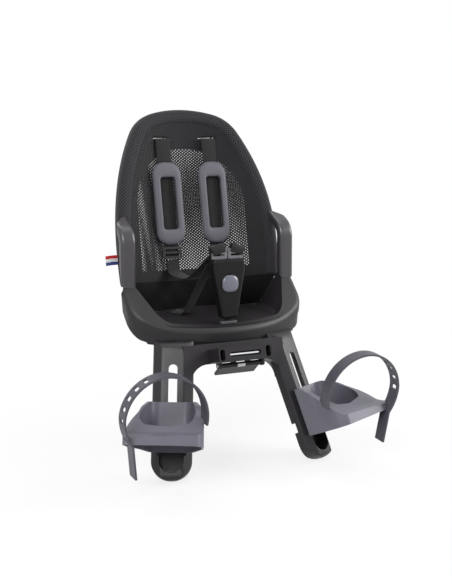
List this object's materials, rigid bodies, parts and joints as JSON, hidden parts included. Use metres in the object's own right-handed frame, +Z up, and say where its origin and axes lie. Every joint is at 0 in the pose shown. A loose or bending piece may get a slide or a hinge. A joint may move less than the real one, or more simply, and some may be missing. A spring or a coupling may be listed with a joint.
{
  "type": "front child bicycle seat",
  "caption": "Front-mounted child bicycle seat with a mesh back, lined pan, armrests, push-button harness, slotted legs, sliding foot cups with straps and a quick-release mount block.",
  "frame": {"origin": "middle of the mount block's front face, between the two tab slots", "axes": "-Y riding direction, +Z up with the seat floor level, +X to the rider's left hand seen from the front"},
  "size_m": [0.4468, 0.3881, 0.5028],
  "materials": {
    "shell_plastic": "moulded satin charcoal",
    "liner_foam": "soft moulded foam skin",
    "back_cover": "black air mesh over foam",
    "back_mesh": "open black net",
    "armrest_plastic": "satin charcoal",
    "steel": "plated steel",
    "chrome_rod": "polished rod",
    "mount_plastic": "black glass-filled plastic",
    "buckle_plastic": "satin dark grey",
    "button_plastic": "satin blue-grey",
    "clip_grey": "light grey",
    "ribbon": "woven three-stripe ribbon",
    "webbing": "woven black webbing",
    "pad_foam": "soft blue-grey foam",
    "adjuster_plastic": "black moulded",
    "tongue_plastic": "grey moulded",
    "foot_plastic": "satin blue-grey",
    "strap_rubber": "flexible blue-grey strap"
  },
  "bodies": {
    "seat": {"armrest_left": "armrest_plastic", "armrest_right": "armrest_plastic", "armrest_screws": "steel", "back_bolts": "steel", "back_frame": "back_cover", "buckle_body": "buckle_plastic", "buckle_cover": "buckle_plastic", "button_spring": "steel", "crotch_anchor": "clip_grey", "crotch_strap": "webbing", "hip_strap_left": "webbing", "hip_strap_right": "webbing", "lever_pin": "steel", "lever_spring": "steel", "lower_shell": "shell_plastic", "lower_strap_left": "webbing", "lower_strap_right": "webbing", "mesh_panel": "back_mesh", "mount_block": "mount_plastic", "mount_screws": "steel", "rear_mesh": "back_mesh", "ribbon_tab": "ribbon", "seat_liner": "liner_foam", "shoulder_pad_left": "pad_foam", "shoulder_pad_right": "pad_foam", "shoulder_strap_left": "webbing", "shoulder_strap_right": "webbing", "strap_adjuster_left": "adjuster_plastic", "strap_adjuster_right": "adjuster_plastic", "strap_anchor_bar": "steel", "tongue_left": "tongue_plastic", "tongue_right": "tongue_plastic"},
    "left_foot": {"footrest_left": "foot_plastic", "foot_strap_left": "strap_rubber", "clamp_plate_left": "steel", "clamp_screw_left": "steel"},
    "right_foot": {"footrest_right": "foot_plastic", "foot_strap_right": "strap_rubber", "clamp_plate_right": "steel", "clamp_screw_right": "steel"},
    "button": {"buckle_button": "button_plastic"},
    "lever": {"release_lever": "mount_plastic"},
    "lock": {"lock_bar": "chrome_rod"}
  },
  "joints": [
    {"name": "right_foot_height", "type": "slide", "parent": "seat", "child": "right_foot", "axis": [0.184, -0.4462, -0.8758], "range_m": [-0.05, 0.008]},
    {"name": "left_foot_height", "type": "slide", "parent": "seat", "child": "left_foot", "axis": [-0.184, -0.4462, -0.8758], "range_m": [-0.05, 0.008]},
    {"name": "button_press", "type": "slide", "parent": "seat", "child": "button", "axis": [0, 0.9903, -0.1392], "range_m": [0, 0.003], "stiffness_N_per_m": 900, "springref_m": -0.003, "deforming": ["button_spring"]},
    {"name": "lever_press", "type": "hinge", "parent": "seat", "child": "lever", "pos_m": [0, 0.01443, -0.02175], "axis": [-1, 0, 0], "range_deg": [0, 21], "stiffness_Nm_per_rad": 0.4, "springref_deg": -11.46},
    {"name": "lock_slide", "type": "slide", "parent": "seat", "child": "lock", "axis": [0, 0.9397, -0.342], "range_m": [0, 0.0064]}
  ],
  "couplings": [
    {"joint": "lock_slide", "follows": "lever_press", "m_per_rad": 0.016916}
  ]
}
